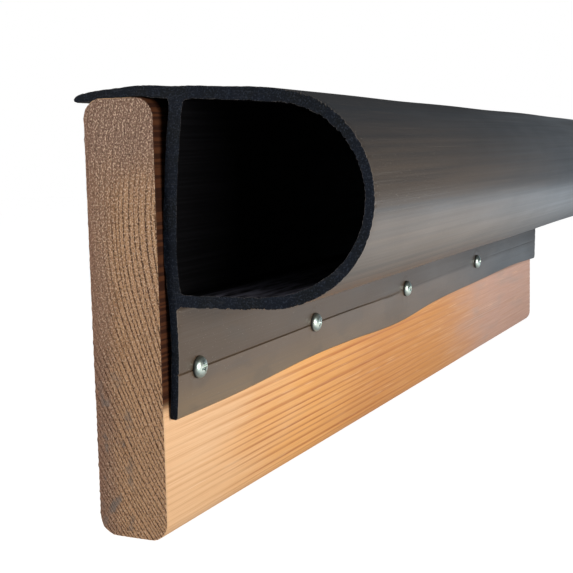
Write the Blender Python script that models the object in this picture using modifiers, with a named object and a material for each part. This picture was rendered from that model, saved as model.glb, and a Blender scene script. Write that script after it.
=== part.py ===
"""Bulb-type rubber door sweep fitted to the timber bottom rail of a door.

The frame is in metres, +Z up. Its origin is the centre of the rail's flat back face, +X runs along the rail and -Y
points out of the rail's front face, towards the hollow rubber bulb. Profile points are (y, z) in millimetres, with
y = 0 at the rail's front face and z = 0 at its bottom edge.
"""

import math

import bmesh
import bpy

MM = 0.001

# Timber rail: a radius-edge board.
RAIL_LENGTH = 476.0
RAIL_DEPTH = 25.4
RAIL_HEIGHT = 139.7
RAIL_EDGE_RADIUS = 6.35

# Clearance kept between any two pieces.
GAP = 0.3

# Rubber extrusion: where it starts and ends along the rail, measured from the rail's end at -X.
SEAL_START = 3.1
SEAL_END = 474.5

# Back of the extrusion. The flange bows off the rail between its toe and the web's foot, the web leans off the
# rail above the foot.
TOE_Z = 39.7
WEB_FOOT_Z = 88.0
WEB_LEAN_Z = 94.0
WEB_TOP_Z = 138.0
FLANGE_BOW = 1.5
WEB_LEAN = 3.7
WEB_LEAN_POWER = 1.6
FLANGE_THICKNESS = 2.7
WEB_THICKNESS = 4.7

# Lip over the rail's top edge: stations of its underside (outwards) and of its upper skin (back to the bulb).
LIP_UNDERSIDE = ((-3.4, 139.0), (2.8, 139.4), (7.0, 140.0), (17.5, 140.05), (22.0, 139.75), (25.8, 139.0), (29.3, 138.8))
LIP_TIP = ((30.7, 139.3), (30.9, 140.1), (30.0, 140.9))
LIP_UPPER_SKIN = ((27.4, 141.7), (21.4, 142.5), (13.0, 143.1), (6.0, 143.2), (-3.0, 142.8))

# Bulb: the inside runs from its upper root along a straight roof, a shoulder, the nose and a heel to a straight floor.
ROOT_Y = -12.0
ROOF_Z = 138.5
ROOF_SLOPE_DEG = 3.7
ROOF_RUN = 27.6
SHOULDER_RADIUS = 31.6
SHOULDER_DEG = 21.0
NOSE_RADIUS = 27.6
NOSE_DEG = 121.0
HEEL_RADIUS = 36.9
HEEL_DEG = 33.0
NOSE_WALL = 3.1
ROOT_WALL = 4.0
ARC_STEP_DEG = 7.5

# Moulded guide line along the flange, which the screws follow.
GUIDE_Z = 54.3
GUIDE_DEPTH = 0.45
GUIDE_HALF_WIDTH = 0.35

# Pan-head wood screws with a cross recess, 3.9 mm thread, set by hand close to the guide line: each one's place
# along the rail, its height and how far its recess is turned.
SCREW_PLACES = ((14.9, 54.7, 20.0), (106.5, 55.3, 62.0), (213.0, 55.3, 35.0), (331.2, 55.9, 8.0))
HEAD_RADIUS = 3.6
HEAD_HEIGHT = 2.2
HEAD_POWER = 2.6
SHANK_RADIUS = 1.4
SCREW_LENGTH = 24.0
POINT_LENGTH = 4.5
THREAD_RADIUS = 1.95
THREAD_PITCH = 1.6
THREAD_HALF_BASE = 0.45
THREAD_TURNS = 9
THREAD_START = 3.2
RECESS_SPAN = 3.9
RECESS_WIDTH = 0.85
RECESS_DEPTH = 1.5
HOLE_RADIUS = THREAD_RADIUS + GAP
PILOT_DEPTH = 21.5

# The screws' seats stand clear of the flange's front skin where it bows out furthest.
SEAT_Y = -(FLANGE_BOW + FLANGE_THICKNESS + 2 * GAP)


def clear_scene():
    for obj in list(bpy.data.objects):
        bpy.data.objects.remove(obj)


def new_collection(name):
    collection = bpy.data.collections.new(name)
    bpy.context.scene.collection.children.link(collection)
    return collection


def material(name, colour, roughness, metallic=0.0):
    made = bpy.data.materials.new(name)
    made.use_nodes = True
    shader = made.node_tree.nodes["Principled BSDF"]
    shader.inputs["Base Color"].default_value = (*colour, 1.0)
    shader.inputs["Roughness"].default_value = roughness
    shader.inputs["Metallic"].default_value = metallic
    return made


def arc(centre, radius, start_deg, end_deg):
    """Points of an arc, both ends included."""
    count = max(2, round(abs(end_deg - start_deg) / ARC_STEP_DEG))
    angles = [math.radians(start_deg + (end_deg - start_deg) * i / count) for i in range(count + 1)]
    return [(centre[0] + radius * math.cos(a), centre[1] + radius * math.sin(a)) for a in angles]


def smooth_through(stations, per_span=3):
    """A Catmull-Rom curve through the stations."""
    padded = [stations[0], *stations, stations[-1]]
    points = []
    for p0, p1, p2, p3 in zip(padded, padded[1:], padded[2:], padded[3:]):
        for i in range(per_span):
            t = i / per_span
            weights = (
                -0.5 * t + t**2 - 0.5 * t**3,
                1 - 2.5 * t**2 + 1.5 * t**3,
                0.5 * t + 2 * t**2 - 1.5 * t**3,
                -0.5 * t**2 + 0.5 * t**3,
            )
            points.append(tuple(sum(w * p[k] for w, p in zip(weights, (p0, p1, p2, p3))) for k in (0, 1)))
    return [*points, stations[-1]]


def back_skin(z):
    """How far the back of the extrusion stands off the rail's front face at height z."""
    if z < WEB_FOOT_Z:
        return GAP + FLANGE_BOW * math.sin(math.pi * (z - TOE_Z) / (WEB_FOOT_Z - TOE_Z))
    lean = max(0.0, z - WEB_LEAN_Z) / (WEB_TOP_Z - WEB_LEAN_Z)
    return GAP + WEB_LEAN * lean**WEB_LEAN_POWER


def heights(start, end, count):
    return [start + (end - start) * i / count for i in range(count + 1)]


def bulb_inside():
    """Points of the bulb's inner skin with their headings, from the upper root round to the lower root."""
    heading = math.radians(180.0 + ROOF_SLOPE_DEG)
    y, z = ROOT_Y - GAP, ROOF_Z
    path = [(y, z, heading)]
    y += ROOF_RUN * math.cos(heading)
    z += ROOF_RUN * math.sin(heading)
    path.append((y, z, heading))
    for radius, turn_deg in ((SHOULDER_RADIUS, SHOULDER_DEG), (NOSE_RADIUS, NOSE_DEG), (HEEL_RADIUS, HEEL_DEG)):
        centre_y = y - radius * math.sin(heading)
        centre_z = z + radius * math.cos(heading)
        count = round(turn_deg / ARC_STEP_DEG)
        for i in range(1, count + 1):
            along = heading + math.radians(turn_deg) * i / count
            path.append((centre_y + radius * math.sin(along), centre_z - radius * math.cos(along), along))
        y, z, heading = path[-1]
    run = (ROOT_Y - GAP - y) / math.cos(heading)
    path.append((ROOT_Y - GAP, z + run * math.sin(heading), heading))
    return path


def bulb_wall(heading):
    """The wall is thinnest at the nose and thickest at the roots."""
    return NOSE_WALL + (ROOT_WALL - NOSE_WALL) * math.cos(heading) ** 2


def bulb_outline():
    inside = bulb_inside()
    outside = [
        (y + bulb_wall(heading) * math.sin(heading), z - bulb_wall(heading) * math.cos(heading))
        for y, z, heading in inside
    ]
    root_y = inside[0][0]
    outside[0] = (root_y, outside[0][1])
    outside[-1] = (root_y, outside[-1][1])
    return [(y, z) for y, z, _ in inside] + outside[::-1]


def strip_outline():
    """Lip, web and screw flange, with the stubs that the bulb's two roots grow from. Runs round clockwise."""
    inside = bulb_inside()
    roof_z = inside[0][1]
    floor_z = inside[-1][1]
    back = [(-back_skin(z), z) for z in heights(TOE_Z + 0.6, WEB_TOP_Z - 0.6, 18)]
    underside = smooth_through(LIP_UNDERSIDE)
    skin = smooth_through(LIP_UPPER_SKIN)
    upper_stub = [(ROOT_Y, roof_z + ROOT_WALL), (ROOT_Y, roof_z)]
    upper_corner = arc((-back_skin(roof_z) - WEB_THICKNESS - 1.2, roof_z - 1.4), 1.2, 90, 0)
    web = [(-back_skin(z) - WEB_THICKNESS, z) for z in heights(roof_z - 3.0, floor_z + 2.0, 9)]
    lower_corner = arc((-back_skin(floor_z) - WEB_THICKNESS - 1.5, floor_z + 1.5), 1.5, 0, -90)
    lower_stub = [(ROOT_Y, floor_z), (ROOT_Y, floor_z - ROOT_WALL)]
    fillet_z = floor_z - ROOT_WALL - 2.0
    fillet = arc((-back_skin(fillet_z) - FLANGE_THICKNESS - 2.0, fillet_z), 2.0, 90, 0)
    above = [(-back_skin(z) - FLANGE_THICKNESS, z) for z in heights(fillet_z - 2.0, GUIDE_Z + GUIDE_HALF_WIDTH, 5)]
    groove = [(-back_skin(GUIDE_Z) - FLANGE_THICKNESS + GUIDE_DEPTH, GUIDE_Z)]
    below = [(-back_skin(z) - FLANGE_THICKNESS, z) for z in heights(GUIDE_Z - GUIDE_HALF_WIDTH, TOE_Z + 0.6, 5)]
    toe = [(below[-1][0] + 0.6, TOE_Z), (back[0][0] - 0.4, TOE_Z)]
    return [
        *back,
        *underside,
        *LIP_TIP,
        *skin,
        *upper_stub,
        *upper_corner,
        *web,
        *lower_corner,
        *lower_stub,
        *fillet,
        *above,
        *groove,
        *below,
        *toe,
    ]


def rail_outline():
    radius = RAIL_EDGE_RADIUS
    near, far = radius, RAIL_DEPTH - radius
    low, high = radius, RAIL_HEIGHT - radius
    return [
        *arc((far, low), radius, -90, 0),
        *arc((far, high), radius, 0, 90),
        *arc((near, high), radius, 90, 180),
        *arc((near, low), radius, 180, 270),
    ]


def extrusion(name, outline, start_x, end_x, parent, origin=(0.0, 0.0)):
    """A solid of constant profile along X. The profile's origin point lies on the object's origin."""
    curve = bpy.data.curves.new(name, "CURVE")
    curve.dimensions = "2D"
    curve.fill_mode = "BOTH"
    curve.extrude = (end_x - start_x) / 2 * MM
    spline = curve.splines.new("POLY")
    spline.points.add(len(outline) - 1)
    for point, (y, z) in zip(spline.points, outline):
        point.co = ((y - origin[0]) * MM, (z - origin[1]) * MM, 0.0, 1.0)
    spline.use_cyclic_u = True
    drawn = bpy.data.objects.new(name + "_outline", curve)
    bpy.context.scene.collection.objects.link(drawn)
    drawn.rotation_euler = (math.pi / 2, 0.0, math.pi / 2)
    drawn.location = (((start_x + end_x) / 2 - RAIL_LENGTH / 2) * MM, origin[0] * MM, origin[1] * MM)
    solid = mesh_from(drawn, name)
    weld(solid)
    made = bpy.data.objects.new(name, solid)
    made.parent = parent
    made.matrix_local = drawn.matrix_local
    parts.objects.link(made)
    bpy.data.objects.remove(drawn)
    return made


def mesh_from(obj, name):
    """The object's shape, with its modifiers, as a new mesh."""
    bpy.context.view_layer.update()
    evaluated = obj.evaluated_get(bpy.context.evaluated_depsgraph_get())
    made = bpy.data.meshes.new_from_object(evaluated)
    made.name = name
    return made


def weld(mesh):
    bm = bmesh.new()
    bm.from_mesh(mesh)
    bmesh.ops.remove_doubles(bm, verts=bm.verts, dist=0.005 * MM)
    bmesh.ops.recalc_face_normals(bm, faces=bm.faces)
    bm.to_mesh(mesh)
    bm.free()


def boolean(obj, operation, other):
    modifier = obj.modifiers.new(operation.lower() + "_" + other.name, "BOOLEAN")
    modifier.operation = operation
    modifier.object = other
    modifier.solver = "EXACT"


def as_cutter(obj):
    obj.hide_render = True
    obj.display_type = "WIRE"


def hole_cutter(name, x, z, front_y, back_y, parent):
    """A cylinder along Y through one screw's place."""
    mesh = bpy.data.meshes.new(name)
    bm = bmesh.new()
    bmesh.ops.create_cone(
        bm,
        cap_ends=True,
        segments=16,
        radius1=HOLE_RADIUS * MM,
        radius2=HOLE_RADIUS * MM,
        depth=(back_y - front_y) * MM,
    )
    bm.to_mesh(mesh)
    bm.free()
    cutter = bpy.data.objects.new(name, mesh)
    cutter.parent = parent
    cutter.location = ((x - RAIL_LENGTH / 2) * MM, (front_y + back_y) / 2 * MM, z * MM)
    cutter.rotation_euler = (math.pi / 2, 0.0, 0.0)
    as_cutter(cutter)
    cutters.objects.link(cutter)
    return cutter


def profile_object(name, points, closed):
    """A chain of (radius, z) points in the XZ plane, ready to be turned about Z."""
    mesh = bpy.data.meshes.new(name)
    edges = [(i, i + 1) for i in range(len(points) - 1)]
    if closed:
        edges.append((len(points) - 1, 0))
    mesh.from_pydata([(r * MM, 0.0, z * MM) for r, z in points], edges, [])
    made = bpy.data.objects.new(name, mesh)
    cutters.objects.link(made)
    as_cutter(made)
    return made


def turn(obj, steps, turns=1, pitch=0.0):
    screw = obj.modifiers.new("turn", "SCREW")
    screw.steps = steps
    screw.render_steps = steps
    screw.iterations = turns
    screw.screw_offset = pitch * MM
    screw.use_merge_vertices = pitch == 0.0
    screw.merge_threshold = 0.00001


def screw_core():
    """Pan head, plain shank and point, turned in one piece. The head's seat is at z = 0 and its crown at +Z."""
    crown = []
    for i in range(6):
        angle = math.pi / 2 * i / 5
        crown.append(
            (
                HEAD_RADIUS * math.sin(angle) ** (2 / HEAD_POWER),
                HEAD_HEIGHT * max(0.0, math.cos(angle)) ** (2 / HEAD_POWER),
            )
        )
    shank = [(SHANK_RADIUS, 0.0), (SHANK_RADIUS, POINT_LENGTH - SCREW_LENGTH), (0.0, -SCREW_LENGTH)]
    core = profile_object("screw_core", crown + shank, closed=False)
    turn(core, steps=20)
    return core


def screw_thread():
    """A helical ridge whose root is buried in the shank."""
    root = SHANK_RADIUS - 0.15
    top = -THREAD_START
    ridge = [(root, top + THREAD_HALF_BASE), (THREAD_RADIUS, top), (root, top - THREAD_HALF_BASE)]
    drawn = profile_object("thread_ridge", ridge, closed=True)
    turn(drawn, steps=10, turns=THREAD_TURNS, pitch=-THREAD_PITCH)
    swept = mesh_from(drawn, "screw_thread")
    bpy.data.objects.remove(drawn)
    bm = bmesh.new()
    bm.from_mesh(swept)
    bmesh.ops.holes_fill(bm, edges=bm.edges)
    bmesh.ops.recalc_face_normals(bm, faces=bm.faces)
    bm.to_mesh(swept)
    bm.free()
    thread = bpy.data.objects.new("screw_thread", swept)
    cutters.objects.link(thread)
    as_cutter(thread)
    return thread


def recess_blades():
    """Two crossed tapered blades that sink the driver recess into the head's crown."""
    blades = []
    for angle in (0.0, math.pi / 2):
        bpy.ops.mesh.primitive_cube_add(size=1.0, location=(0.0, 0.0, HEAD_HEIGHT * MM), rotation=(0.0, 0.0, angle))
        blade = bpy.context.object
        blade.name = "recess_blade"
        for vertex in blade.data.vertices:
            low = vertex.co.z < 0
            vertex.co.x *= RECESS_SPAN * MM * (0.35 if low else 1.0)
            vertex.co.y *= RECESS_WIDTH * MM
            vertex.co.z *= 2 * RECESS_DEPTH * MM
        for collection in blade.users_collection:
            collection.objects.unlink(blade)
        cutters.objects.link(blade)
        as_cutter(blade)
        blades.append(blade)
    return blades


def screw_mesh():
    core = screw_core()
    tools = [screw_thread(), *recess_blades()]
    boolean(core, "UNION", tools[0])
    for blade in tools[1:]:
        boolean(core, "DIFFERENCE", blade)
    made = mesh_from(core, "flange_screw")
    for obj in [core, *tools]:
        bpy.data.objects.remove(obj)
    weld(made)
    made.shade_smooth()
    made.set_sharp_from_angle(angle=math.radians(35))
    return made


def make_rail(parent):
    rail = extrusion("door_rail", rail_outline(), 0.0, RAIL_LENGTH, parent)
    rail.data.materials.append(material("rail_timber", (0.62, 0.38, 0.20), 0.65))
    for number, (x, z, _) in enumerate(SCREW_PLACES, 1):
        boolean(rail, "DIFFERENCE", hole_cutter(f"pilot_{number}", x, z, -5.0, PILOT_DEPTH, parent))
    return rail


def make_strip(parent, rubber):
    strip = extrusion("seal_strip", strip_outline(), SEAL_START, SEAL_END, parent)
    strip.data.materials.append(rubber)
    for number, (x, z, _) in enumerate(SCREW_PLACES, 1):
        boolean(strip, "DIFFERENCE", hole_cutter(f"clearance_{number}", x, z, -10.0, 3.0, parent))
    return strip


def make_bulb(parent, rubber):
    """The bulb hangs on an empty on the line that its nose travels along when it is pressed in."""
    inside = bulb_inside()
    nose_y = min(y for y, _, _ in inside) - NOSE_WALL
    nose_z = (inside[0][1] + inside[-1][1]) / 2
    guide = bpy.data.objects.new("bulb_slide", None)
    guide.parent = parent
    guide.location = (0.0, nose_y * MM, nose_z * MM)
    parts.objects.link(guide)
    shifted = [(y - nose_y, z - nose_z) for y, z in bulb_outline()]
    bulb = extrusion("seal_bulb", shifted, SEAL_START, SEAL_END, guide)
    bulb.data.materials.append(rubber)
    bulb.data.shade_smooth()
    bulb.data.set_sharp_from_angle(angle=math.radians(30))
    return bulb


def make_screws(parent):
    mesh = screw_mesh()
    mesh.materials.append(material("screw_zinc", (0.80, 0.82, 0.78), 0.28, metallic=1.0))
    for number, (x, z, turn_deg) in enumerate(SCREW_PLACES, 1):
        axle = bpy.data.objects.new(f"screw_axis_{number}", None)
        axle.parent = parent
        axle.location = ((x - RAIL_LENGTH / 2) * MM, SEAT_Y * MM, z * MM)
        axle.rotation_euler = (math.pi / 2, 0.0, 0.0)
        parts.objects.link(axle)
        screw = bpy.data.objects.new(f"flange_screw_{number}", mesh)
        screw.parent = axle
        screw.rotation_euler = (0.0, 0.0, math.radians(turn_deg))
        parts.objects.link(screw)


clear_scene()
parts = new_collection("door_sweep")
cutters = new_collection("cutters")

datum = bpy.data.objects.new("rail_front_bottom_edge", None)
datum.location = (0.0, -RAIL_DEPTH * MM, -RAIL_HEIGHT / 2 * MM)
parts.objects.link(datum)

seal_rubber = material("seal_rubber", (0.045, 0.045, 0.05), 0.45)
make_rail(datum)
make_strip(datum, seal_rubber)
make_bulb(datum, seal_rubber)
make_screws(datum)
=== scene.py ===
"""Looks of a bulb-type door sweep: a soft rubber extrusion on a sawn timber rail, held by four plated screws.

Lengths are in millimetres from the rail's low corner at -X, -Y and -Z. They become the frame's metres when a
mesh, a light or the camera is made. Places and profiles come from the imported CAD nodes.
"""

import math
from functools import partial, reduce

import bmesh
import bpy
import numpy as np
from mathutils import Matrix, Vector
from mathutils.geometry import delaunay_2d_cdt


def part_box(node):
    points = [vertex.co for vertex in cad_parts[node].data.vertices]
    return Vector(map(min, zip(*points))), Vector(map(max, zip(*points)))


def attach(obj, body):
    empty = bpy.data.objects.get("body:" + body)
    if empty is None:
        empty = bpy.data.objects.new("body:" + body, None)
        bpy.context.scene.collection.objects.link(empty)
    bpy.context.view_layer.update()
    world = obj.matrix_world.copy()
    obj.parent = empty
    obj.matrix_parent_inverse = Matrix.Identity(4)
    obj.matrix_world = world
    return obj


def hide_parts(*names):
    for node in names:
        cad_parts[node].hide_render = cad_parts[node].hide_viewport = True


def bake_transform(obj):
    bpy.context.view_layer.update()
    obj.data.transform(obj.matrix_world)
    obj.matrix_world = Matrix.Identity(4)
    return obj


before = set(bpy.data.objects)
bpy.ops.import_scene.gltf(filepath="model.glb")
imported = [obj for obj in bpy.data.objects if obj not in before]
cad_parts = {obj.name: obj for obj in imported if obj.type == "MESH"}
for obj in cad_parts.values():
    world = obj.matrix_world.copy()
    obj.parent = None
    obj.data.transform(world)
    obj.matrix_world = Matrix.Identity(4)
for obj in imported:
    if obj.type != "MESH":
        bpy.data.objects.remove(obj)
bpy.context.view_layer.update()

MM = 0.001
DATUM = np.array(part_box("door_rail")[0])

# Mesh attributes: a point's place at rest, and how near it lies to a sawn rim or, on a screw, to the seat.
REST = "rest_mm"
RIM = "rim"


def mm_box(node):
    """The lowest and highest corner of a CAD node, in mm from the datum."""
    return [(np.array(corner) - DATUM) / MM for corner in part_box(node)]


RAIL_SIZE = mm_box("door_rail")[1]
STRIP_LOW, STRIP_HIGH = mm_box("seal_strip")

# The real screws sit slightly beside the CAD's centres, and their heads are slightly larger.
SCREW_NODES = sorted(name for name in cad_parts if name.startswith("flange_screw"))
SCREW_LOW, SCREW_HIGH = mm_box(SCREW_NODES[0])
SCREW_SHIFT = (0.6, 0.0, -0.45)
SCREW_CENTRES = [np.mean(mm_box(node), axis=0) + SCREW_SHIFT for node in SCREW_NODES]
HEAD_OVERSIZE = 1.03

# Extrusion: how the flange lies on the rail once it is screwed down, with stations as (place along X, value).
# It bows between root and toe, ripples at the toe, dips at each screw and bulges in a ring round it, and its
# guide line fills up over GUIDE_FADE. This starts where the bulb splits off and is full after NEAR_RUN.
TOE_Z = STRIP_LOW[2]
GUIDE_Z = 54.3
FLANGE_TOP_Z = 74.0
WEB_FOOT_Z = 88.0
FLANGE_BOW = 1.5
SPLIT_Y = STRIP_LOW[1]
NEAR_RUN = 6.0
TOE_WANDER = (
    (0, -0.35), (30, -0.3), (115, 1.4), (145, 1.3), (206, -0.3),
    (245, 1.9), (350, 3.7), (420, 4.6), (474, 3.4),
)
GUIDE_WANDER = ((0, -0.6), (80, -0.2), (140, 0.1), (190, -0.2), (248, 0.7), (300, 1.3), (474, 1.3))
BOW_KEPT = ((0, 1.0), (106, 1.0), (213, 0.95), (331, 0.9), (474, 0.6))
TOE_RIPPLE = (
    (0, 0.1), (55, 0.55), (106, 0.1), (160, 0.7), (205, 0.05),
    (222, 0.55), (270, 0.3), (331, 0.1), (474, 0.5),
)
TOE_RIPPLE_POWER = 1.3
GUIDE_FADE = (110.0, 240.0)
GUIDE_FILL = 0.4
GUIDE_HALF_WIDTH = 0.36
GUIDE_FACE = (-1.9, -2.4)
DIMPLE_DEPTH = 0.12
DIMPLE_RADIUS = 5.2
SQUEEZE_HEIGHT = 0.16
SQUEEZE_RADIUS = 4.6
SQUEEZE_WIDTH = 0.9

# Extrusion: slow unevenness of the web, the lip and the bulb, and finer ripples on the roof.
UNEVENNESS = 0.22
UNEVEN_SIZE = (90, 30, 30)
ROOF_RIPPLE = 0.12
ROOF_RIPPLE_SIZE = (45, 12, 60)
ROOF_RISE = (136, 141)

# Extrusion: how far its roof sinks along X. The lip and the rail's top edge take a share of that, which is
# larger on top of the lip and grows to all of it along Y, across SAG_GROWTH.
SAG = ((0, 0.0), (50, 0.5), (105, 1.7), (180, 2.5), (286, 3.8), (355, 5.3), (405, 6.2), (474, 7.3))
LIP_SAG = 0.35
LIP_THINNING = 0.2
LIP_TOP = (140.0, 142.5)
SAG_GROWTH = (6.0, -38.0)
SEAL_SAG_RISE = (88.0, 136.0)
RAIL_SAG_RISE = (70.0, 136.0)

# Extrusion: where the saw tore the cut ends, as (y, z, reach, depth), and the relief it left on them.
TORN_PATCHES = ((-50.0, 128.0, 15.0, 0.55), (-26.0, 77.0, 14.0, 0.4))
FRAY_DEPTH = 0.17
FRAY_REACH = 1.3
SAWN_DEPTH = 0.12
SAWN_RELIEF = 0.05

# Relief on a cut face varies across it only, so it is made this long along X.
THROUGH_CUT = 400

# Meshing: how far a loop turns at a corner, the grids on the cut ends, and how far apart points lie round a
# section. SCREW_STEPS are steps along X, as (distance from a screw, step).
CORNER_DEG = 28.0
CAP_GRID = 0.9
END_GRID = 0.5
RIM_CLEARANCE = 0.55
ROOT_TOLERANCE = 0.01
HIDDEN_SPACING = 2.5
SKIN_SPACING = 1.1
FLANGE_SPACING = 0.9
TORN_SPACING = 0.55
RAIL_SPACING = 0.6
SCREW_STEPS = ((7.0, 1.0), (12.0, 2.0), (math.inf, 7.5))

# Holes for the screws, slightly wider than their threads, as (front y, back y).
HOLE_RADIUS = 2.25
FLANGE_HOLE = (-10.0, 1.5)
PILOT_HOLE = (-5.0, 21.5)

# Timber: growth rings, counted across the board. They stand upright at the pith's height and curve away below
# and above it, tighter towards the bottom. RING_WAVES are slow waves, as (amplitude, radians per mm, phase).
# RING_UNEVEN makes some rings wider than others, as (amplitude, rate, phase).
PITH_Z = 100.0
RINGS_PER_MM = 0.546
RING_TIGHTENING = 0.00132
RING_CURVATURE = 0.0024
RING_WAVES = (
    (0.45, (0.004, 0.05, 0.03), 0.4),
    (0.2, (0.011, 0.13, 0.09), 1.9),
    (0.3, (0.002, 0.01, 0.015), 4.0),
)
RING_UNEVEN = ((0.13, 1.7, 0.0), (0.22, 0.73, 1.0))
LATEWOOD_START = 0.54
LATEWOOD_FULL = 0.82
LATEWOOD_STOP = 0.9

# Timber: how deep the sawn ends are torn, the long faces' relief, and the worn arris between them.
END_TEAR = 0.22
END_RELIEF = 0.12
END_REACH = 0.5
FACE_RELIEF = 0.07
FACE_SINK = 0.04
FACE_RIPPLE_SIZE = (150, 25, 25)
ARRIS = 0.15
ARRIS_REACH = 0.35
ARRIS_UNEVENNESS = 0.7

# Screws: pan head, plain shank, thread and cross recess. The seat is at 0 and the crown at +Z. HEAD_POWER is
# how square the crown is, and THREAD_STOP how far from the tip the thread ends.
HEAD_RADIUS = HEAD_OVERSIZE * (SCREW_HIGH[0] - SCREW_LOW[0]) / 2
HEAD_HEIGHT = 2.35
HEAD_POWER = 2.4
HEAD_STEPS = 72
CROWN_STEPS = 16
# Dirt and painted contact shade on a head: none at the first height over the seat, full at the second, in mm.
SEAT_DIRT_AND_SHADE = (1.2, 0.1)
SEAT_SINK = 0.05
SHANK_RADIUS = 1.4
SCREW_LENGTH = 24.0
POINT_LENGTH = 4.5
THREAD_RADIUS = 1.95
THREAD_PITCH = 1.6
THREAD_START = 3.2
THREAD_STOP = 1.6
THREAD_STEPS = 36
THREAD_GROWTH_TURNS = 0.8
THREAD_FADE_TURNS = 1.2
THREAD_HALF_BASE = 0.42
THREAD_HALF_CREST = 0.04
RECESS_SPAN = 3.9
RECESS_WIDTH = 0.7
RECESS_DEPTH = 1.2
RECESS_RISE = 0.4
RECESS_TURNS_DEG = (20.0, 62.0, 35.0, 8.0)

# The camera, solved from the edges of the rail and the seal. Its turns are heading, pitch and roll.
CAMERA_PLACE = (-300.83, -187.5, 125.4)
CAMERA_TURNS_DEG = (25.57, 7.173, -1.283)
CAMERA_LENS = 72.556

# The floor, which fades out over FLOOR_FADE of its radius. Its glow is what the camera sees.
FLOOR_Z = -0.15
FLOOR_RADIUS = 2600.0
FLOOR_FADE = (0.35, 0.95)
FLOOR_GLOW = 0.95

# The floor's glow as light for the object, in metres round a point in front of the rail. The rail shades it
# nearby, and it is cooler towards +X.
POOL_CENTRE = (0.2, -0.45, 0.0)
POOL_REACH = (0.34, 0.92)
POOL_GLOW = 1.42
POOL_EDGE_GLOW = 0.12
RAIL_SHADE_REACH = (0.06, 0.15)
RAIL_SHADE = 0.33
POOL_COOLING = (0.08, 0.42)


def metres(points):
    return np.asarray(points, float) * MM + DATUM


def share(value, low, high):
    """How far value has come from low to high, kept within 0 and 1. Works downwards too."""
    return np.clip((value - low) / (high - low), 0.0, 1.0)


def smooth(value, low, high):
    """The same as share(), but it eases in and out."""
    t = share(value, low, high)
    return t * t * (3 - 2 * t)


def eased(t, start, leaving, end, arriving):
    """A point on the smooth curve from start to end, at t from 0 to 1, with its slopes at both."""
    first = (1 + 2 * t) * (1 - t) ** 2 * start + t * (1 - t) ** 2 * leaving
    last = t**2 * (3 - 2 * t) * end - t**2 * (1 - t) * arriving
    return first + last


def through(stations, at):
    """A smooth curve through (place, value) stations, read at many places at once."""
    places, values = np.array(stations, float).T
    slopes = np.gradient(values, places)
    i = np.clip(np.searchsorted(places, at) - 1, 0, len(places) - 2)
    width = places[i + 1] - places[i]
    t = share(at, places[i], places[i + 1])
    return eased(t, values[i], width * slopes[i], values[i + 1], width * slopes[i + 1])


def ripples(points, size, seed, waves=14):
    """Smooth random relief, mostly within -1 to 1, whose bumps measure about size mm along X, Y and Z."""
    random = np.random.default_rng(seed)
    total = np.zeros(len(points))
    for _ in range(waves):
        direction = random.normal(size=3)
        direction *= random.uniform(0.7, 1.4) * math.pi / np.linalg.norm(direction)
        total += np.sin(points @ (direction / np.array(size)) + random.uniform(0, 2 * math.pi))
    return total / math.sqrt(waves / 2) / 1.6


def mesh_points(mesh):
    """A mesh's points, in metres."""
    flat = np.empty(len(mesh.vertices) * 3)
    mesh.vertices.foreach_get("co", flat)
    return flat.reshape(-1, 3)


def add_object(name, data):
    made = bpy.data.objects.new(name, data)
    bpy.context.scene.collection.objects.link(made)
    return made


# ---- profiles


def end_profile(node):
    """The outline of a CAD node's end face at -X: a closed loop of (y, z)."""
    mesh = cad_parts[node].data
    points = (mesh_points(mesh) - DATUM) / MM
    cell = 0.005
    on_end = points[:, 0] < points[:, 0].min() + cell
    keys = [tuple(key) for key in np.round(points[:, 1:] / cell).astype(int)]
    edges = set()
    for polygon in mesh.polygons:
        corners = list(polygon.vertices)
        if not on_end[corners].all():
            continue
        for a, b in zip(corners, corners[1:] + corners[:1]):
            if (keys[b], keys[a]) in edges:
                edges.remove((keys[b], keys[a]))
            elif keys[a] != keys[b]:
                edges.add((keys[a], keys[b]))
    following = dict(edges)
    loop = [min(following)]
    while following[loop[-1]] != loop[0]:
        loop.append(following[loop[-1]])
    return np.array(loop, float) * cell


def open_chains(loop, is_root):
    """A loop with two straight root edges, cut open there: the two chains that are left."""
    starts = [i for i in range(len(loop)) if is_root[i] and is_root[i - 1]]
    loop = np.roll(loop, -starts[0], axis=0)
    is_root = np.roll(is_root, -starts[0])
    first_end = 1 + int(np.argmax(is_root[1:]))
    return loop[: first_end + 1], loop[first_end + 1 :]


def joined(first, second):
    """Two open chains as one loop."""
    if np.linalg.norm(first[-1] - second[0]) > np.linalg.norm(first[-1] - second[-1]):
        second = second[::-1]
    return np.concatenate([first, second])


def signed_area(loop):
    y, z = loop.T
    return float(np.sum(y * np.roll(z, -1) - np.roll(y, -1) * z)) / 2


def seal_profile():
    """The whole extrusion's section as two loops: its outer skin, and the inside of the hollow."""
    strip = end_profile("seal_strip")
    bulb = end_profile("seal_bulb")
    strip_chains = open_chains(strip, strip[:, 0] < strip[:, 0].min() + ROOT_TOLERANCE)
    bulb_chains = open_chains(bulb, bulb[:, 0] > bulb[:, 0].max() - ROOT_TOLERANCE)
    inner, outer = sorted(strip_chains, key=lambda chain: -chain[:, 1].min())
    inside, outside = sorted(bulb_chains, key=lambda chain: -chain[:, 0].min())
    skin = joined(outer, outside)
    hollow = joined(inner, inside)
    if signed_area(skin) < 0:
        skin = skin[::-1]
    if signed_area(hollow) > 0:
        hollow = hollow[::-1]
    return skin, hollow


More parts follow.
